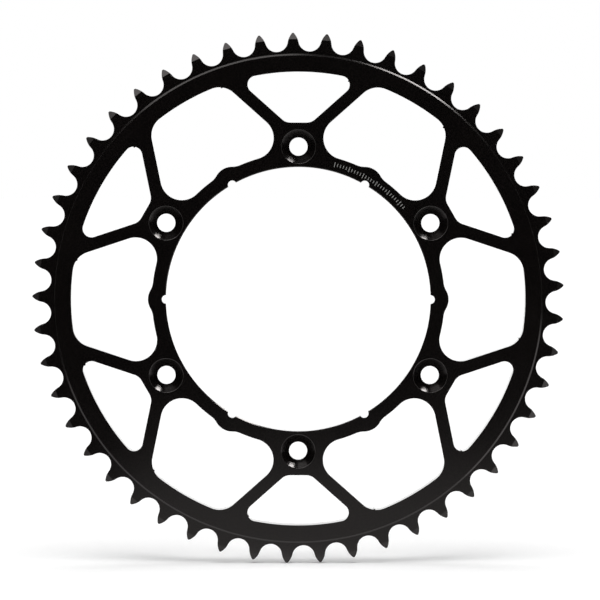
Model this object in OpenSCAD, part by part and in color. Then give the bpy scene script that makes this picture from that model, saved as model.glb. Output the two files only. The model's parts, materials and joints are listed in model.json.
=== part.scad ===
// Rear chain sprocket for a motorcycle: one flat plate, turned and then cut.
// The wheel axis is Y. It passes through the origin, which is midway through the plate.
// The face with the countersinks looks along -Y, and +Z is up.

/* [Chain] */
// Number of teeth
teeth = 49; // [47:1:52]
// Distance from one chain pin to the next
chain_pitch = 15.875; // [15.8:0.005:15.95]
// Diameter of the chain's rollers
roller_d = 10.16; // [10:0.02:10.3]
// Radius of the round seat that each roller drops into
seat_r = 5.45; // [5.2:0.05:5.6]
// Radius of the curved flank between the seat and the tip
flank_r = 9.6; // [9:0.1:11]
// Height of the tooth tips above the pitch circle
tip_height = 3.76; // [3.4:0.02:3.9]
// Width of a tooth at its tip
tip_w = 0.72; // [0.5:0.02:1.2]

/* [Plate] */
// Thickness of the body
plate_t = 7; // [6:0.5:9]
// Thickness of the toothed band, which is turned thinner than the body
tooth_t = 5.8; // [5:0.1:5.9]
// Width of solid rim between the tooth roots and the windows
rim_w = 9.8; // [9:0.2:11]
// Width of the thin band between the tooth roots and the turned step
band_w = 1.2; // [0.8:0.1:2]
// Width of the sloping step, seen from the front
step_w = 0.75; // [0.4:0.05:1.5]
// Radial depth of the bevel on the tooth tips
tip_bevel_w = 3; // [2:0.1:3.4]
// How far the tip bevel falls at the very tip
tip_bevel_drop = 1.3; // [0.5:0.1:2]

/* [Hub] */
// Diameter of the bore that fits over the hub
bore_d = 127; // [126:0.5:128]
// Diameter of the circle that the bolts stand on
bolt_pcd = 146.5; // [145:0.5:147]
// Diameter of each bolt hole
bolt_hole_d = 8.75; // [8.5:0.05:9]
// Diameter of each countersink at the face
sink_d = 16.4; // [14:0.2:17]
// Full angle of the countersinks
sink_angle = 90; // [82:1:100]
// Outer radius of the ring that joins the bolt bosses
ring_r = 70.2; // [69.5:0.1:71]
// Radius of each relief notch in the bore
notch_r = 2.1; // [1.5:0.1:2.5]
// Radius of the swelling behind each notch, about the edge of the bore
swell_r = 8.65; // [8:0.05:9]
// Radius that blends the swelling into the ring
blend_r = 9.6; // [8:0.2:11]
// Chamfer on the edges of the bore
bore_chamfer = 0.4; // [0.2:0.1:0.8]

/* [Windows] */
// Width of each spoke
spoke_w = 6; // [5:0.2:8]
// Angle of a spoke from the tangent of the ring at its bolt
spoke_angle = 41.6; // [40:0.2:43]
// Distance from the axis to where the two spokes of a bolt cross
spoke_cross = 75.3; // [74.8:0.1:76]
// Distance from the axis to the flat inner edge of a small window
small_inner = 84.75; // [84:0.25:86]
// Corner radius at the flat inner edge of a small window
small_inner_r = 6.2; // [5:0.2:7]
// Corner radius at the rim end of a small window
small_outer_r = 4.2; // [3:0.2:5]
// Corner radius of the large windows
large_r = 10.2; // [9:0.2:11]
// Radius of the tiny nib left where the cutter entered a window
nib_r = 0.45; // [0.3:0.05:0.6]

/* [Hidden] */
$fn = 180;

bolts = 6;
bolt_step = 360 / bolts;
bolt_line = 90;
notch_line = bolt_line + bolt_step / 2;
// One tooth stands exactly on the line of this bolt.
tooth_line = bolt_line + bolt_step;

tooth_step = 360 / teeth;
pitch_r = chain_pitch / (2 * sin(tooth_step / 2));
root_r = pitch_r - roller_d / 2;
tip_r = pitch_r + tip_height;
bore_r = bore_d / 2;
bolt_r = bolt_pcd / 2;
window_r = root_r - rim_w;
step_outer = root_r - band_w;
step_inner = step_outer - step_w;
sink_depth = (sink_d - bolt_hole_d) / 2 / tan(sink_angle / 2);

// Cuts run this far past what they cut.
past = 0.4;
// Rounds overlap the edges that they run into by this much, which no eye can see.
overlap = 0.005;

function turned(p, a) = [p.x * cos(a) - p.y * sin(a), p.x * sin(a) + p.y * cos(a)];
function flipped(p) = [-p.x, p.y];
function both_sides(points) = concat(points, [for (i = [len(points) - 1:-1:0]) flipped(points[i])]);

// Where a circle of radius p about a and one of radius q about b cross, right of the way from a to b.
function crossing(a, b, p, q) =
    let (
        apart = norm(b - a),
        way = (b - a) / apart,
        step = (p * p - q * q + apart * apart) / (2 * apart)
    )
    a + way * step + [way.y, -way.x] * sqrt(p * p - step * step);

// The right-hand spoke of a bolt that stands on +Y: one direction along it and one square to it.
along = [cos(spoke_angle), sin(spoke_angle)];
across = [sin(spoke_angle), -cos(spoke_angle)];
spoke_mid = -spoke_cross * cos(spoke_angle);
small_side = spoke_mid - spoke_w / 2;
large_side = spoke_mid + spoke_w / 2;

// The point at this distance from the axis whose offset across the spoke is side.
function beside_spoke(side, distance) = across * side + along * sqrt(distance * distance - side * side);

// Corner centres of a small window, whose bolt stands on +Y.
small_outer = beside_spoke(small_side - small_outer_r, window_r - small_outer_r);
small_inner_y = small_inner + small_inner_r;
small_inner_x = (small_side - small_inner_r - across.y * small_inner_y) / across.x;
small_corner = [small_inner_x, small_inner_y];

// Corner centres of a large window that is turned to lie on +Y, on its left side.
large_outer = turned(beside_spoke(large_side + large_r, window_r - large_r), bolt_step / 2);
large_corner = turned(beside_spoke(large_side + large_r, ring_r + large_r), bolt_step / 2);
large_across = turned(across, bolt_step / 2);

// Centre of the round that blends a swelling on +Y into the ring.
blend_centre = crossing([0, 0], [0, bore_r], ring_r + blend_r, swell_r + blend_r);

// A gap between two teeth on +Y: its seat, and the flank and the tip of the tooth on its right.
seat_centre = [0, root_r + seat_r];
tip_corner = turned([-tip_w / 2, sqrt(tip_r * tip_r - tip_w * tip_w / 4)], -tooth_step / 2);
flank_centre = crossing(seat_centre, tip_corner, seat_r + flank_r - overlap, flank_r);
flank_start = seat_centre + (flank_centre - seat_centre) * seat_r / (seat_r + flank_r);
beyond_tip = turned([0, tip_r + past], -tooth_step / 2);

module mirrored() {
    children();
    mirror([1, 0]) children();
}

module disc_at(centre, r) {
    translate(centre) circle(r);
}

// Six copies about the axis, the first turned from +Y to this angle.
module around(angle) {
    for (i = [0:bolts - 1]) {
        rotate(angle - 90 + i * bolt_step) children();
    }
}

module cut_through() {
    translate([0, 0, -plate_t / 2 - past]) linear_extrude(plate_t + 2 * past) children();
}

// The blank: a ring with a chamfered bore, a thinner toothed band and bevelled tips.
module turned_blank() {
    face = plate_t / 2;
    tooth_face = tooth_t / 2;
    rotate_extrude() {
        polygon([
            [bore_r, -face + bore_chamfer],
            [bore_r + bore_chamfer, -face],
            [step_inner, -face],
            [step_outer, -tooth_face],
            [tip_r - tip_bevel_w, -tooth_face],
            [tip_r, -tooth_face + tip_bevel_drop],
            [tip_r, tooth_face - tip_bevel_drop],
            [tip_r - tip_bevel_w, tooth_face],
            [step_outer, tooth_face],
            [step_inner, face],
            [bore_r + bore_chamfer, face],
            [bore_r, face - bore_chamfer]
        ]);
    }
}

module tooth_gap() {
    disc_at(seat_centre, seat_r);
    difference() {
        polygon(both_sides([flank_start, beyond_tip]));
        disc_at(flank_centre, flank_r);
        disc_at(flipped(flank_centre), flank_r);
    }
}

module tooth_gaps() {
    for (i = [0:teeth - 1]) {
        rotate(tooth_line - 90 + (i + 0.5) * tooth_step) tooth_gap();
    }
}

module small_window() {
    difference() {
        union() {
            intersection() {
                circle(window_r);
                polygon(both_sides([
                    [small_corner.x, small_inner],
                    small_corner + across * small_inner_r,
                    small_outer + across * small_outer_r,
                    small_outer,
                    small_outer * 1.2
                ]));
            }
            mirrored() {
                disc_at(small_corner, small_inner_r + overlap);
                disc_at(small_outer, small_outer_r + overlap);
            }
        }
        disc_at(small_outer + turned([small_outer_r, 0], 24), nib_r);
    }
}

module ring_with_swelling() {
    circle(ring_r);
    disc_at([0, bore_r], swell_r);
    mirrored() {
        difference() {
            polygon([[0, bore_r], blend_centre, blend_centre * 0.8]);
            disc_at(blend_centre, blend_r + overlap);
        }
    }
}

module large_window() {
    difference() {
        union() {
            intersection() {
                circle(window_r);
                polygon(both_sides([
                    large_corner * 0.8,
                    large_corner,
                    large_corner - large_across * large_r,
                    large_outer - large_across * large_r,
                    large_outer,
                    large_outer * 1.2
                ]));
            }
            mirrored() {
                disc_at(large_corner, large_r + overlap);
                disc_at(large_outer, large_r + overlap);
            }
        }
        ring_with_swelling();
        disc_at(flipped(large_outer) + turned([large_r, 0], 54), nib_r);
    }
}

// A bolt hole with its countersink, which opens on the front face.
module bolt_hole() {
    hole_r = bolt_hole_d / 2;
    sink_h = sink_depth + past;
    translate([0, 0, -plate_t / 2 - past]) cylinder(h = plate_t + 2 * past, r = hole_r);
    translate([0, 0, plate_t / 2 - sink_depth]) {
        cylinder(h = sink_h, r1 = hole_r, r2 = hole_r + sink_h * tan(sink_angle / 2));
    }
}

module sprocket() {
    color([0.05, 0.05, 0.05]) {
        rotate([90, 0, 0]) {
            difference() {
                turned_blank();
                cut_through() tooth_gaps();
                cut_through() around(bolt_line) small_window();
                cut_through() around(notch_line) large_window();
                cut_through() around(notch_line) disc_at([0, bore_r - 0.1], notch_r);
                around(bolt_line) translate([0, bolt_r, 0]) bolt_hole();
            }
        }
    }
}

sprocket();
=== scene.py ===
"""The finished look of the rear sprocket: its mesh, its ticks, its coating, the studio and the camera."""

import cmath
import json
import math

import bmesh
import bpy
from mathutils import Matrix, Vector


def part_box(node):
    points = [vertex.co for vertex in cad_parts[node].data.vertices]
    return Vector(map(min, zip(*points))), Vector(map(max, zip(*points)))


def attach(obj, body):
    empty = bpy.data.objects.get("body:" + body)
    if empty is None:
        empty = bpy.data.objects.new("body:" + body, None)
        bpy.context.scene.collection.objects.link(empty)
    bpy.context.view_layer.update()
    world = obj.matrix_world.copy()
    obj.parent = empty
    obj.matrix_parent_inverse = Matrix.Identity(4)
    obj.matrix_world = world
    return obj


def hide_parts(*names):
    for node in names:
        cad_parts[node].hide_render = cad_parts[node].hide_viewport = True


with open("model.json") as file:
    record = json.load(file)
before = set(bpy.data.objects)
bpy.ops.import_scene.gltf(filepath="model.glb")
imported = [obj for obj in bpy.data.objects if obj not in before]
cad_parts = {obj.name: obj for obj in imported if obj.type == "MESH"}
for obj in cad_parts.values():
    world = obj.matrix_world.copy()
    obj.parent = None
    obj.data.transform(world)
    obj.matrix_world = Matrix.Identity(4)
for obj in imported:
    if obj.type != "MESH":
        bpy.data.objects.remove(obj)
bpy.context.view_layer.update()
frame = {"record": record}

# The shape is drawn in the front view, in millimetres, with each point as x + z*1j.
# Angles are in degrees, from +X towards +Z.
MM = 0.001
NODE = "sprocket"
BODY = "root"
LOW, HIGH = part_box(NODE)
MOUNTS = {mount["name"]: mount["dims"] for mount in frame["record"]["mounts"]}

TEETH = 49
CHAIN_PITCH = 15.875
ROLLER_D = 10.16
SEAT_R = 5.45
FLANK_R = 9.6
TIP_HEIGHT = 3.76
TIP_W = 0.72

# How far the faces of the body and of the toothed band lie from the middle of the plate.
FACE = (HIGH.y - LOW.y) / 2 / MM
TOOTH_FACE = 2.9
RIM_W = 9.8
BAND_W = 1.2
STEP_W = 0.75
TIP_BEVEL_W = 3.0
TIP_BEVEL_DROP = 1.3

BOLTS = MOUNTS["hub_bolts"]["count"]
BOLT_R = MOUNTS["hub_bolts"]["pcd_mm"] / 2
BOLT_HOLE_R = MOUNTS["hub_bolts"]["hole_r_mm"]
BORE_R = MOUNTS["hub_bore"]["r_mm"]
BORE_CHAMFER = FACE - MOUNTS["hub_bore"]["length_mm"] / 2
SINK_R = 8.2
SINK_SLOPE = 45
SINK_DEPTH = (SINK_R - BOLT_HOLE_R) * math.tan(math.radians(SINK_SLOPE))
RING_R = 70.2
NOTCH_R = 2.1
# The centre of the notch on +Z lies a little inside the bore.
NOTCH_INSET = 0.1
NOTCH_CENTRE = 1j * (BORE_R - NOTCH_INSET)
SWELL_R = 8.65
BLEND_R = 9.6

SPOKE_W = 6.0
SPOKE_ANGLE = 41.6
SPOKE_CROSS = 75.3
SMALL_INNER = 84.75
SMALL_INNER_R = 6.2
SMALL_OUTER_R = 4.2
SMALL_NIB_ANGLE = 24
LARGE_R = 10.2
LARGE_NIB_ANGLE = 54
NIB_R = 0.45

# Cut edges have a small round, and the rims of the countersinks have a softer one.
EDGE_ROUND = 0.12
SINK_ROUND = 0.35
ROUND_STEPS = 4
# No chord of an arc strays further than this from its curve.
CHORD_ERROR = 0.003
# Straight pieces in each notch and in each stretch of the bore between two notches.
NOTCH_CHORDS = 24
BORE_CHORDS = 96
# Edges that turn more than this are creases, and not part of a round.
CREASE_ANGLE = 35
# The layer that says how worn each vertex is: 1 in the middle of a round, and this much on the bore's edges.
WEAR = "wear"
BORE_WEAR = 0.6
# A face with less wear than this at every corner is not part of a round.
LEAST_WEAR = 0.1
# Blender's name for the layer that says which faces set the normals at their corners, and its strong value.
FACE_STRENGTH = "__mod_weightednormals_faceweight"
STRONG = 16384

BOLT_LINE = 90
BOLT_STEP = 360 / BOLTS
NOTCH_LINE = BOLT_LINE + BOLT_STEP / 2
TOOTH_LINE = BOLT_LINE + BOLT_STEP
TOOTH_STEP = 360 / TEETH
PITCH_R = CHAIN_PITCH / (2 * math.sin(math.radians(TOOTH_STEP / 2)))
ROOT_R = PITCH_R - ROLLER_D / 2
TIP_R = PITCH_R + TIP_HEIGHT
WINDOW_R = ROOT_R - RIM_W
STEP_OUTER = ROOT_R - BAND_W
STEP_INNER = STEP_OUTER - STEP_W

# Tick marks on the ring, one in each group long and the rest short.
TICK_COUNT = 28
TICK_START = 75
TICK_STEP = 1.25
TICKS_PER_LONG = 5
TICK_R = 66.9
LONG_TICK = 2.6
SHORT_TICK = 1.56
TICK_W = 0.4
TICK_END_STEP = 30
# How far the ticks stand out, and how much smaller all round they are at their tops.
TICK_PROUD = 0.02
TICK_SLOPE = 0.03

COAT_DEEP = (0.0024, 0.0018, 0.0018, 1)
COAT_WARM = (0.0040, 0.0030, 0.0027, 1)
COAT_IOR = 1.5
# The tint of the coating's highlights.
COAT_SHINE = (1.0, 0.94, 0.92, 1)
# Nearly all noise lies between these values.
NOISE_LOW = 0.25
NOISE_HIGH = 0.75
# The coating's roughness, and how far the clouds, the turning lines and the grain each change it.
COAT_ROUGHNESS = 0.19
CLOUD_ROUGHNESS = 0.025
TURNING_ROUGHNESS = 0.03
GRAIN_ROUGHNESS = 0.02
# The metal under worn edges, how much of it shows at most, and how little of that the smudges leave.
BARE_EDGE = (0.16, 0.155, 0.15, 1)
EDGE_WEAR = 0.35
LEAST_SMUDGED = 0.15
# The height of the grain, how strongly it shows, and the height of the turning lines against it.
RELIEF = 0.003
RELIEF_STRENGTH = 0.5
TURNING_SHARE = 0.5
ETCH_DARK = (0.18, 0.18, 0.17, 1)
ETCH_PALE = (0.30, 0.30, 0.29, 1)
ETCH_SMOOTH = 0.5
ETCH_ROUGH = 0.7

# The studio and the camera are in metres and degrees, apart from the camera's sensor and lens.
STUDIO_R = 8
FLOOR_STEP = 3
WHITE = (1, 1, 1, 1)
PAPER = (0.8, 0.8, 0.8, 1)
FLOOR_GLOW = 0.25
BACKDROP_GLOW = 1.0
WORLD_GLOW = 0.015
OVERHEAD_POWER = 3.3
OVERHEAD_FRONT = 9
OVERHEAD_SPREAD = 58
OVERHEAD_DISTANCE = 2

CAMERA_SENSOR = 36
CAMERA_LENS = 180
CAMERA_DISTANCE = 1.443
CAMERA_AZIMUTH = -0.575
CAMERA_ELEVATION = 3.18
CAMERA_ROLL = 0.072
CAMERA_AIM = (0.00083, 0, -0.00044)


# ---- Outlines ----

def toward(angle):
    """The unit direction at this angle."""
    return cmath.exp(1j * math.radians(angle))


def turned(points, angle):
    return [point * toward(angle) for point in points]


def flipped(point):
    """The point on the other side of the upright middle line."""
    return -point.conjugate()


def flipped_back(points):
    """The flipped points in the opposite order, to carry an outline on down its other side."""
    return [flipped(point) for point in reversed(points)]


def crossing(first, second, first_r, second_r, side=1):
    """Where the circles about first and second with these radii cross.

    The side is 1 for the crossing on the right of the way from first to second, and -1 for the other.
    """
    apart = abs(second - first)
    way = (second - first) / apart
    step = (first_r ** 2 - second_r ** 2 + apart ** 2) / (2 * apart)
    return first + way * (step - 1j * side * math.sqrt(first_r ** 2 - step ** 2))


def chord_turn(radius):
    """The angle in radians of the longest chord that stays close enough to an arc of this radius."""
    return 2 * math.acos(1 - CHORD_ERROR / radius)


def arc(centre, start, end, count=None):
    """Points from start to end about the centre, the shorter way round, with both ends."""
    turn = cmath.phase((end - centre) / (start - centre))
    if count is None:
        count = max(2, math.ceil(abs(turn) / chord_turn(abs(start - centre))))
    return [centre + (start - centre) * cmath.exp(1j * turn * i / count) for i in range(count + 1)]


def circle(radius):
    """Points round a circle about the axis."""
    count = math.ceil(2 * math.pi / chord_turn(radius))
    return [radius * cmath.exp(2j * math.pi * i / count) for i in range(count)]


def joined(*runs):
    """One run of points, without those that repeat where two runs meet or where the last meets the first."""
    points = []
    for run in runs:
        for point in run:
            if not points or abs(point - points[-1]) > CHORD_ERROR:
                points.append(point)
    if abs(points[0] - points[-1]) < CHORD_ERROR:
        points.pop()
    return points


def arc_with_nib(centre, start, end, angle):
    """An arc with a tiny half-round nib on it, on the side of its centre."""
    radius = abs(start - centre)
    half = math.degrees(2 * math.asin(NIB_R / (2 * radius)))
    before = centre + radius * toward(angle - half)
    after = centre + radius * toward(angle + half)
    nib = centre + radius * toward(angle)
    return joined(arc(centre, start, before), arc(nib, before, after), arc(centre, after, end))


def tooth_gap():
    """The outline of a gap on +Z, from the tip corner on its right to the one on its left.

    Also returns how far below the toothed band's face the bevel lies at each point, and how many points the
    bevel takes up at each end.
    """
    bevel_r = TIP_R - TIP_BEVEL_W
    seat = 1j * (ROOT_R + SEAT_R)
    tip = complex(-TIP_W / 2, math.sqrt(TIP_R ** 2 - TIP_W ** 2 / 4)) * toward(-TOOTH_STEP / 2)
    flank = crossing(seat, tip, SEAT_R + FLANK_R, FLANK_R)
    bevel_end = crossing(0, flank, bevel_r, FLANK_R, side=-1)
    seat_end = seat + (flank - seat) * SEAT_R / (SEAT_R + FLANK_R)
    bevelled = arc(flank, tip, bevel_end)
    right = joined(bevelled, arc(flank, bevel_end, seat_end))
    bottom = arc(seat, seat_end, flipped(seat_end))
    points = joined(right, bottom, flipped_back(right))
    falls = [max(0, abs(point) - bevel_r) * TIP_BEVEL_DROP / TIP_BEVEL_W for point in points]
    return points, falls, len(bevelled)


def beside_spoke(side, distance):
    """The point at this distance from the axis whose offset across the right-hand spoke on +Z is side."""
    along = toward(SPOKE_ANGLE)
    return -1j * along * side + along * math.sqrt(distance * distance - side * side)


def window(inner_side, outer, side_end, nib_angle):
    """A window's outline, from the right half of its inner side.

    The corner at the rim has its centre at outer and starts at side_end. On the right it has a nib, at this
    angle about its centre.
    """
    rim_end = outer * WINDOW_R / abs(outer)
    right = joined(inner_side, arc_with_nib(outer, side_end, rim_end, nib_angle))
    rim = arc(0, rim_end, flipped(rim_end))
    left = joined(inner_side, arc(outer, side_end, rim_end))
    return joined(right, rim, flipped_back(left))


def small_window():
    """The outline of the window outside the bolt on +Z."""
    along = toward(SPOKE_ANGLE)
    across = toward(SPOKE_ANGLE - 90)
    side = -SPOKE_CROSS * along.real - SPOKE_W / 2
    outer = beside_spoke(side - SMALL_OUTER_R, WINDOW_R - SMALL_OUTER_R)
    inner_z = SMALL_INNER + SMALL_INNER_R
    inner = complex((side - SMALL_INNER_R - across.imag * inner_z) / across.real, inner_z)
    inner_corner = arc(inner, inner - 1j * SMALL_INNER_R, inner + across * SMALL_INNER_R)
    return window(inner_corner, outer, outer + across * SMALL_OUTER_R, SMALL_NIB_ANGLE)


def large_window():
    """The outline of a window between two bolts, turned so that its middle is on +Z."""
    half_step = toward(BOLT_STEP / 2)
    side = -SPOKE_CROSS * toward(SPOKE_ANGLE).real + SPOKE_W / 2 + LARGE_R
    outer = flipped(beside_spoke(side, WINDOW_R - LARGE_R) * half_step)
    corner = flipped(beside_spoke(side, RING_R + LARGE_R) * half_step)
    outward = (toward(SPOKE_ANGLE - 90) * half_step).conjugate()
    swell = 1j * BORE_R
    blend = crossing(0, swell, RING_R + BLEND_R, SWELL_R + BLEND_R)
    swell_end = swell + (blend - swell) * SWELL_R / (SWELL_R + BLEND_R)
    blend_end = blend * RING_R / (RING_R + BLEND_R)
    ring_end = corner * RING_R / (RING_R + LARGE_R)
    inner_side = joined(
        arc(swell, swell + 1j * SWELL_R, swell_end),
        arc(blend, swell_end, blend_end),
        arc(0, blend_end, ring_end),
        arc(corner, ring_end, corner + outward * LARGE_R),
    )
    return window(inner_side, outer, outer + outward * LARGE_R, LARGE_NIB_ANGLE)


def bore(radius):
    """The outline of the bore with its notches; it has the same number of points at every radius."""
    start = crossing(0, NOTCH_CENTRE, radius, NOTCH_R)
    notch = arc(NOTCH_CENTRE, start, flipped(start), count=NOTCH_CHORDS)
    rest = arc(0, flipped(start), start * toward(BOLT_STEP), count=BORE_CHORDS)
    sector = notch + rest[1:-1]
    points = []
    for i in range(BOLTS):
        points += turned(sector, NOTCH_LINE - 90 + i * BOLT_STEP)
    return points


def shifted(points, distance):
    """The closed outline moved to its left by this distance, with mitred corners."""
    moved = []
    for before, point, after in zip(points[-1:] + points[:-1], points, points[1:] + points[:1]):
        arriving = (point - before) / abs(point - before)
        leaving = (after - point) / abs(after - point)
        both = arriving + leaving
        moved.append(point + 2j * distance * both / abs(both) ** 2)
    return moved


# ---- The sprocket's mesh ----

def vert_at(bm, point, depth):
    """A vertex at this depth, which is along Y from the middle of the plate and negative at the front."""
    return bm.verts.new((point.real * MM, depth * MM, point.imag * MM))


def ring_of_verts(bm, points, depths, wear=0.0):
    """A closed loop of vertices, all with this much wear."""
    layer = bm.verts.layers.float[WEAR]
    verts = [vert_at(bm, point, depth) for point, depth in zip(points, depths)]
    for vert in verts:
        vert[layer] = wear
    return verts


def level_ring(bm, points, depth, wear=0.0):
    return ring_of_verts(bm, points, [depth] * len(points), wear)


def skin(bm, rings):
    """Quads from each closed loop to the next."""
    for first, second in zip(rings, rings[1:]):
        for i in range(len(first)):
            bm.faces.new((first[i - 1], first[i], second[i], second[i - 1]))


def fill(bm, loops):
    """Flat faces between these closed loops, of which one goes round the others."""
    edges = []
    for loop in loops:
        for i in range(len(loop)):
            pair = (loop[i - 1], loop[i])
            edges.append(bm.edges.get(pair) or bm.edges.new(pair))
    bmesh.ops.triangle_fill(bm, use_beauty=True, edges=edges, normal=(0, -1, 0))


def round_steps(turn, radius):
    """The steps of a round that bends down from a face by this turn.

    Each step says how far the round has moved along the face, how far it has sunk below it, and its wear.
    """
    steps = []
    for step in range(ROUND_STEPS + 1):
        angle = math.radians(turn) * step / ROUND_STEPS
        wear = math.sin(math.pi * step / ROUND_STEPS)
        steps.append((radius * math.sin(angle), radius * (1 - math.cos(angle)), wear))
    return steps


def rounded_cut(bm, outline, face_depths, into_material):
    """The wall of a cut through the plate, with its edges rounded.

    face_depths holds how far each face is from the middle of the plate at every point. into_material is 1
    where the plate is left of the outline and -1 where it is right of it. Returns the loops of the front
    round and those of the back round, each from its face inwards.
    """
    halves = []
    for facing in (-1, 1):
        rings = []
        for moved, sunk, wear in round_steps(90, EDGE_ROUND):
            points = shifted(outline, into_material * (EDGE_ROUND - moved))
            depths = [facing * (depth - sunk) for depth in face_depths]
            rings.append(ring_of_verts(bm, points, depths, wear))
        halves.append(rings)
    front, back = halves
    skin(bm, front + back[::-1])
    return front, back


def tip_bevel(bm, rings, last, first, reach):
    """The bevelled face of a tooth tip, between the last point of one gap and the first of the next.

    It reaches this many points into each gap. Where it meets the flat band is a crease, which runs on down
    the rounds at both ends.
    """
    loop = rings[0]
    for rung in range(reach):
        bm.faces.new((loop[last - rung], loop[first + rung], loop[first + rung + 1], loop[last - rung - 1]))
    ends = (last - reach, first + reach)
    creases = [(loop[ends[0]], loop[ends[1]])]
    for upper, lower in zip(rings, rings[1:]):
        creases += [(upper[end], lower[end]) for end in ends]
    for crease in creases:
        bm.edges.get(crease).smooth = False


def toothed_edge(bm):
    """The teeth's walls and bevels; returns the loops that bound the flat band on the front and the back."""
    gap, gap_falls, bevel_count = tooth_gap()
    reach = bevel_count - 1
    outline = []
    depths = []
    for i in range(TEETH):
        outline += turned(gap, TOOTH_LINE - 90 + (i + 0.5) * TOOTH_STEP)
        depths += [TOOTH_FACE - fall for fall in gap_falls]
    band_loops = []
    for rings in rounded_cut(bm, outline, depths, into_material=1):
        band = []
        for i in range(TEETH):
            first = i * len(gap)
            last = first + len(gap) - 1
            band += rings[0][first + reach:last - reach + 1]
            tip_bevel(bm, rings, last, (last + 1) % len(outline), reach)
        band_loops.append(band)
    return band_loops


def countersunk_hole(bm, centre):
    """A bolt hole with its countersink at the front; returns its loops on the front and the back."""
    front_r = SINK_R + SINK_ROUND * math.tan(math.radians(SINK_SLOPE / 2))
    back_r = BOLT_HOLE_R + EDGE_ROUND
    profile = []
    for moved, sunk, wear in round_steps(SINK_SLOPE, SINK_ROUND):
        profile.append((front_r - moved, sunk - FACE, wear))
    profile.append((BOLT_HOLE_R, SINK_DEPTH - FACE, 0))
    for moved, sunk, wear in reversed(round_steps(90, EDGE_ROUND)):
        profile.append((back_r - moved, FACE - sunk, wear))
    rings = []
    for radius, depth, wear in profile:
        points = [centre + point * radius / SINK_R for point in circle(SINK_R)]
        rings.append(level_ring(bm, points, depth, wear))
    skin(bm, rings)
    return rings[0], rings[-1]


def step_rings(bm, facing):
    """The slope from the body's face down to the toothed band, with a small round at its upper edge."""
    slope = math.degrees(math.atan2(FACE - TOOTH_FACE, STEP_W))
    round_r = STEP_INNER - EDGE_ROUND * math.tan(math.radians(slope / 2))
    profile = []
    for moved, sunk, wear in round_steps(slope, EDGE_ROUND):
        profile.append((round_r + moved, FACE - sunk, wear))
    profile.append((STEP_OUTER, TOOTH_FACE, 0))
    rings = []
    for radius, depth, wear in profile:
        points = [point * radius / STEP_INNER for point in circle(STEP_INNER)]
        rings.append(level_ring(bm, points, facing * depth, wear))
    return rings


def bore_wall(bm):
    """The bore with its notches and its chamfers; returns its loops on the front and the back."""
    chamfer_r = BORE_R + BORE_CHAMFER
    chamfer_depth = FACE - BORE_CHAMFER
    rings = [
        level_ring(bm, bore(chamfer_r), -FACE),
        level_ring(bm, bore(BORE_R), -chamfer_depth, BORE_WEAR),
        level_ring(bm, bore(BORE_R), chamfer_depth, BORE_WEAR),
        level_ring(bm, bore(chamfer_r), FACE),
    ]
    skin(bm, rings)
    return rings[0], rings[-1]


def set_shading(bm):
    """Smooth faces with creases between them.

    A round bends to meet the faces beside it, and those keep their own normals up to their edges.
    """
    wear = bm.verts.layers.float[WEAR]
    strength = bm.faces.layers.int.new(FACE_STRENGTH)
    for edge in bm.edges:
        if edge.calc_face_angle(0) > math.radians(CREASE_ANGLE):
            edge.smooth = False
    for face in bm.faces:
        face.smooth = True
        is_plain = all(vert[wear] < LEAST_WEAR for vert in face.verts)
        face[strength] = STRONG if is_plain else 0


def mesh_from(bm, name):
    """The finished mesh; the bmesh can't be used after this."""
    mesh = bpy.data.meshes.new(name)
    bm.to_mesh(mesh)
    bm.free()
    return mesh


def sprocket_mesh():
    bm = bmesh.new()
    bm.verts.layers.float.new(WEAR)
    holes = []
    for i in range(BOLTS):
        for outline, line in ((small_window(), BOLT_LINE), (large_window(), NOTCH_LINE)):
            cut = turned(outline, line - 90 + i * BOLT_STEP)
            front, back = rounded_cut(bm, cut, [FACE] * len(cut), into_material=-1)
            holes.append((front[0], back[0]))
        holes.append(countersunk_hole(bm, BOLT_R * toward(BOLT_LINE + i * BOLT_STEP)))
    holes.append(bore_wall(bm))
    front_holes, back_holes = zip(*holes)
    front_band, back_band = toothed_edge(bm)
    for facing, loops, band in ((-1, front_holes, front_band), (1, back_holes, back_band)):
        step = step_rings(bm, facing)
        skin(bm, step)
        fill(bm, [*loops, step[0]])
        fill(bm, [step[-1], band])
    bmesh.ops.recalc_face_normals(bm, faces=bm.faces)
    set_shading(bm)
    return mesh_from(bm, "finished_sprocket")


# ---- Pieces ----

def piece(name, mesh, material):
    """A shown piece that moves with the plate."""
    mesh.materials.append(material)
    made = bpy.data.objects.new(name, mesh)
    bpy.context.scene.collection.objects.link(made)
    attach(made, BODY)
    return made


def finished_sprocket():
    """The sprocket as it is seen, in place of its CAD node."""
    made = piece("finished_sprocket", sprocket_mesh(), black_coating())
    weighted = made.modifiers.new("face normals", "WEIGHTED_NORMAL")
    weighted.keep_sharp = True
    weighted.mode = "CORNER_ANGLE"
    weighted.use_face_influence = True
    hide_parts(NODE)


def etched_ticks():
    """A row of plain tick marks on the ring, between the bolt at the top and the one on its right."""
    bm = bmesh.new()
    for i in range(TICK_COUNT):
        angle = TICK_START - i * TICK_STEP
        height = LONG_TICK if i % TICKS_PER_LONG == 0 else SHORT_TICK
        foot_outline = turned(tick_outline(height, TICK_W), angle)
        top_outline = turned(tick_outline(height - 2 * TICK_SLOPE, TICK_W - 2 * TICK_SLOPE), angle)
        foot = [vert_at(bm, point, -FACE) for point in foot_outline]
        top = [vert_at(bm, point, -FACE - TICK_PROUD) for point in top_outline]
        skin(bm, [foot, top])
        bm.faces.new(top)
        bm.faces.new(foot[::-1])
    bmesh.ops.recalc_face_normals(bm, faces=bm.faces)
    piece("etched_ticks", mesh_from(bm, "etched_ticks"), etched_grey())


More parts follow.
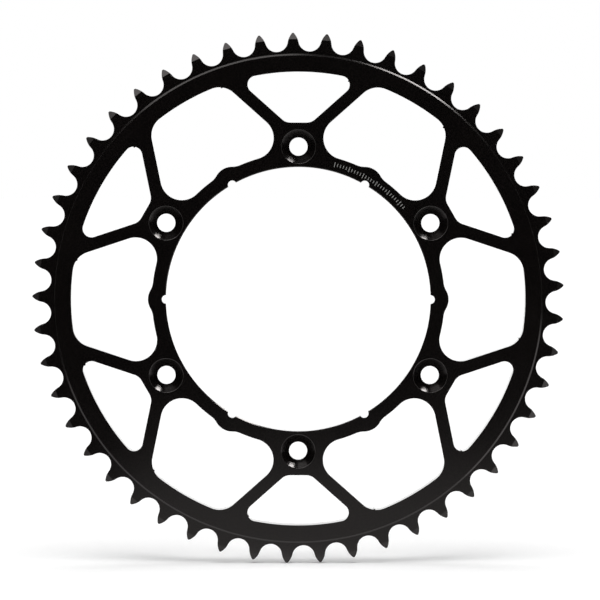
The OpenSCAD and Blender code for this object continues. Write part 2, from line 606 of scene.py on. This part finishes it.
def tick_outline(height, width):
    """A narrow bar with round ends, across the ring on +X."""
    end_r = width / 2
    reach = height / 2 - end_r
    outer = TICK_R + reach
    inner = TICK_R - reach
    outer_end = [outer + end_r * toward(angle) for angle in range(-90, 91, TICK_END_STEP)]
    inner_end = [inner + end_r * toward(angle) for angle in range(90, 271, TICK_END_STEP)]
    return outer_end + inner_end


# ---- Materials ----

def fill_socket(tree, socket, value):
    """Gives a socket its value, or links it if the value is another socket."""
    if isinstance(value, bpy.types.NodeSocket):
        tree.links.new(value, socket)
    else:
        socket.default_value = value


def node(tree, kind, inputs=None, **settings):
    """Adds a shader node. An input is given by its name or number, as a value or as a socket to link."""
    made = tree.nodes.new(kind)
    for name, value in settings.items():
        setattr(made, name, value)
    for name, value in (inputs or {}).items():
        fill_socket(tree, made.inputs[name], value)
    return made


def empty_material(name):
    material = bpy.data.materials.new(name)
    material.use_nodes = True
    material.node_tree.nodes.clear()
    return material, material.node_tree


def noise(tree, position, per_mm, detail=3.0, roughness=0.5):
    """Noise with this many features to the millimetre."""
    inputs = {"Vector": position, "Scale": per_mm, "Detail": detail, "Roughness": roughness}
    return node(tree, "ShaderNodeTexNoise", inputs).outputs["Fac"]


def between(tree, factor, low, high):
    """The noise factor, stretched to run from low to high."""
    inputs = {"Value": factor, "From Min": NOISE_LOW, "From Max": NOISE_HIGH, "To Min": low, "To Max": high}
    return node(tree, "ShaderNodeMapRange", inputs).outputs["Result"]


def combined(tree, operation, first, second):
    return node(tree, "ShaderNodeMath", {0: first, 1: second}, operation=operation).outputs[0]


def colour_mix(tree, factor, first, second):
    """The first colour where the factor is 0, and the second where it is 1.

    The node has sockets of the same name for other kinds of value, so they are picked by identifier.
    """
    made = node(tree, "ShaderNodeMix", data_type="RGBA")
    sockets = {socket.identifier: socket for socket in made.inputs}
    for name, value in (("Factor_Float", factor), ("A_Color", first), ("B_Color", second)):
        fill_socket(tree, sockets[name], value)
    return [socket for socket in made.outputs if socket.identifier == "Result_Color"][0]


def millimetres(tree):
    """The place on the part in millimetres."""
    inputs = {0: node(tree, "ShaderNodeTexCoord").outputs["Object"], 1: (1 / MM, 1 / MM, 1 / MM)}
    return node(tree, "ShaderNodeVectorMath", inputs, operation="MULTIPLY").outputs[0]


def axis_distance(tree, position):
    """How far this position is from the wheel axis."""
    inputs = {0: position, 1: (1, 0, 1)}
    flat = node(tree, "ShaderNodeVectorMath", inputs, operation="MULTIPLY").outputs[0]
    return node(tree, "ShaderNodeVectorMath", {0: flat}, operation="LENGTH").outputs["Value"]


def relief(tree, height):
    """The normals of a surface with this fine relief."""
    inputs = {"Height": height, "Strength": RELIEF_STRENGTH, "Distance": RELIEF * MM}
    return node(tree, "ShaderNodeBump", inputs).outputs["Normal"]


def black_coating():
    """Black anodising on turned aluminium: near black, satin, with turning lines, grain and worn edges."""
    material, tree = empty_material("black_anodised")
    position = millimetres(tree)
    grain = noise(tree, position, per_mm=7.0, detail=2.0)
    clouds = noise(tree, position, per_mm=0.05, detail=5.0, roughness=0.6)
    smudges = noise(tree, position, per_mm=0.4, detail=4.0)
    turning_inputs = {"W": axis_distance(tree, position), "Scale": 1.6, "Detail": 5.0, "Roughness": 0.75}
    turning = node(tree, "ShaderNodeTexNoise", turning_inputs, noise_dimensions="1D").outputs["Fac"]

    wear = node(tree, "ShaderNodeAttribute", attribute_name=WEAR).outputs["Fac"]
    worn = combined(tree, "MULTIPLY", wear, between(tree, smudges, LEAST_SMUDGED, 1.0))
    coat = colour_mix(tree, clouds, COAT_DEEP, COAT_WARM)
    colour = colour_mix(tree, combined(tree, "MULTIPLY", worn, EDGE_WEAR), coat, BARE_EDGE)

    roughness = between(tree, clouds, COAT_ROUGHNESS - CLOUD_ROUGHNESS, COAT_ROUGHNESS + CLOUD_ROUGHNESS)
    for pattern, reach in ((turning, TURNING_ROUGHNESS), (grain, GRAIN_ROUGHNESS)):
        roughness = combined(tree, "ADD", roughness, between(tree, pattern, -reach, reach))

    height = combined(tree, "ADD", combined(tree, "MULTIPLY", turning, TURNING_SHARE), grain)
    inputs = {
        "Base Color": colour,
        "Roughness": roughness,
        "Specular Tint": COAT_SHINE,
        "Normal": relief(tree, height),
        "IOR": COAT_IOR,
    }
    shader = node(tree, "ShaderNodeBsdfPrincipled", inputs)
    node(tree, "ShaderNodeOutputMaterial", {"Surface": shader.outputs[0]})
    return material


def etched_grey():
    """The pale, dull grey that a laser leaves where it burns the coating away."""
    material, tree = empty_material("etched_grey")
    speckle = noise(tree, millimetres(tree), per_mm=5.0)
    colour = colour_mix(tree, between(tree, speckle, 0, 1), ETCH_DARK, ETCH_PALE)
    roughness = between(tree, speckle, ETCH_SMOOTH, ETCH_ROUGH)
    inputs = {"Base Color": colour, "Roughness": roughness, "Normal": relief(tree, speckle)}
    shader = node(tree, "ShaderNodeBsdfPrincipled", inputs)
    node(tree, "ShaderNodeOutputMaterial", {"Surface": shader.outputs[0]})
    return material


def glowing(name, strength):
    """White that glows and takes no light."""
    material, tree = empty_material(name)
    shader = node(tree, "ShaderNodeEmission", {"Color": WHITE, "Strength": strength})
    node(tree, "ShaderNodeOutputMaterial", {"Surface": shader.outputs[0]})
    return material


def floor_white():
    """White paper that also glows a little, so that shadows on it stay soft and pale."""
    material, tree = empty_material("floor_white")
    paper = node(tree, "ShaderNodeBsdfDiffuse", {"Color": PAPER})
    glow = node(tree, "ShaderNodeEmission", {"Color": WHITE, "Strength": FLOOR_GLOW})
    both = node(tree, "ShaderNodeAddShader", {0: paper.outputs[0], 1: glow.outputs[0]})
    node(tree, "ShaderNodeOutputMaterial", {"Surface": both.outputs[0]})
    return material


# ---- Studio ----

def stage_piece(name, mesh, material, seen_by):
    """A stage object that only these kinds of ray see."""
    mesh.materials.append(material)
    made = bpy.data.objects.new(name, mesh)
    bpy.context.scene.collection.objects.link(made)
    made.visible_camera = "camera" in seen_by
    made.visible_diffuse = "diffuse" in seen_by
    made.visible_glossy = "glossy" in seen_by
    made.visible_transmission = False
    made.visible_volume_scatter = False
    made.visible_shadow = False


def flat_mesh(name, corners):
    mesh = bpy.data.meshes.new(name)
    mesh.from_pydata(corners, [], [range(len(corners))])
    return mesh


def glow_card(name, corners, radiance):
    """A glowing card that shows only in reflections."""
    stage_piece(name, flat_mesh(name, corners), glowing(name, radiance), ("glossy",))


def floor_card(name, left, right, front, back, radiance):
    """A card that lies a millimetre below the part's lowest teeth."""
    height = LOW.z - MM
    corners = [(left, front, height), (right, front, height), (right, back, height), (left, back, height)]
    glow_card(name, corners, radiance)


def back_card(half_size, distance, radiance):
    """A card that stands behind the part, where the walls of the openings reflect it."""
    corners = [(x * half_size, distance, z * half_size) for x, z in ((-1, -1), (1, -1), (1, 1), (-1, 1))]
    glow_card("back_card", corners, radiance)


def aimed_lamp(name, kind, azimuth, front, distance):
    """A lamp aimed at the part.

    Its azimuth goes round in the front view, and front is its angle forwards out of the plate's plane.
    """
    lamp = bpy.data.lights.new(name, kind)
    made = bpy.data.objects.new(name, lamp)
    bpy.context.scene.collection.objects.link(made)
    out = toward(azimuth)
    sideways = Vector((-out.imag, 0, out.real))
    direction = Vector((out.real, 0, out.imag)) * math.cos(math.radians(front))
    direction.y = -math.sin(math.radians(front))
    lengthways = direction.cross(sideways)
    made.location = direction * distance
    made.rotation_euler = Matrix((sideways, lengthways, direction)).transposed().to_euler()
    made.visible_camera = False
    return made, lamp


def softbox(name, azimuth, front, distance, width, height, radiance):
    """A softbox that only makes highlights. Its width goes round in the front view."""
    made, lamp = aimed_lamp(name, "AREA", azimuth, front, distance)
    lamp.shape = "RECTANGLE"
    lamp.size = width
    lamp.size_y = height
    lamp.energy = radiance * math.pi * width * height
    made.visible_diffuse = False


def overhead_light():
    """Even light from above, which lights the floor and makes its soft shadow, but no highlights."""
    made, lamp = aimed_lamp("overhead_light", "SUN", 90, OVERHEAD_FRONT, OVERHEAD_DISTANCE)
    lamp.energy = OVERHEAD_POWER
    lamp.angle = math.radians(OVERHEAD_SPREAD)
    made.visible_glossy = False


def floor_and_backdrop():
    """A round white floor, inside a white globe."""
    edge = [toward(angle) * STUDIO_R for angle in range(0, 360, FLOOR_STEP)]
    corners = [(point.real, point.imag, LOW.z) for point in edge]
    stage_piece("floor", flat_mesh("floor", corners), floor_white(), ("camera", "diffuse"))

    bm = bmesh.new()
    bmesh.ops.create_uvsphere(bm, u_segments=96, v_segments=48, radius=STUDIO_R)
    bmesh.ops.reverse_faces(bm, faces=bm.faces)
    stage_piece("backdrop", mesh_from(bm, "backdrop"), glowing("backdrop", BACKDROP_GLOW), ("camera",))


def studio():
    floor_and_backdrop()
    floor_card("near_floor_card", left=-0.32, right=0.12, front=-0.05, back=0.2, radiance=0.9)
    floor_card("mid_floor_card", left=-0.42, right=0.12, front=-0.24, back=-0.05, radiance=0.56)
    floor_card("far_floor_card", left=-0.1, right=0.6, front=-0.46, back=-0.24, radiance=0.5)
    floor_card("right_floor_card", left=0.12, right=0.8, front=-0.24, back=0.2, radiance=1.3)
    back_card(half_size=0.8, distance=1.5, radiance=2)

    softbox("edge_light", azimuth=60.25, front=4, distance=1.5, width=0.5, height=0.3, radiance=27)
    softbox("broad_light", azimuth=110, front=32, distance=1.8, width=1.42, height=1.54, radiance=2.6)
    softbox("left_light", azimuth=168, front=43, distance=1.8, width=1.45, height=1.0, radiance=0.32)
    softbox("right_light", azimuth=35, front=43, distance=1.8, width=2.0, height=1.0, radiance=0.17)
    overhead_light()

    world = bpy.data.worlds.new("studio")
    world.use_nodes = True
    background = world.node_tree.nodes["Background"]
    background.inputs["Color"].default_value = WHITE
    background.inputs["Strength"].default_value = WORLD_GLOW
    bpy.context.scene.world = world


def look_through_camera():
    lens = bpy.data.cameras.new("camera")
    lens.sensor_width = CAMERA_SENSOR
    lens.lens = CAMERA_LENS
    lens.clip_end = 4 * STUDIO_R
    camera = bpy.data.objects.new("camera", lens)
    bpy.context.scene.collection.objects.link(camera)
    azimuth = math.radians(CAMERA_AZIMUTH)
    elevation = math.radians(CAMERA_ELEVATION)
    direction = Vector((
        math.sin(azimuth) * math.cos(elevation),
        -math.cos(azimuth) * math.cos(elevation),
        math.sin(elevation),
    ))
    camera.location = Vector(CAMERA_AIM) + direction * CAMERA_DISTANCE
    facing = direction.to_track_quat("Z", "Y").to_matrix()
    roll = Matrix.Rotation(math.radians(CAMERA_ROLL), 3, "Z")
    camera.rotation_euler = (facing @ roll).to_euler()
    bpy.context.scene.camera = camera
    bpy.context.scene.view_settings.view_transform = "Standard"


finished_sprocket()
etched_ticks()
studio()
look_through_camera()
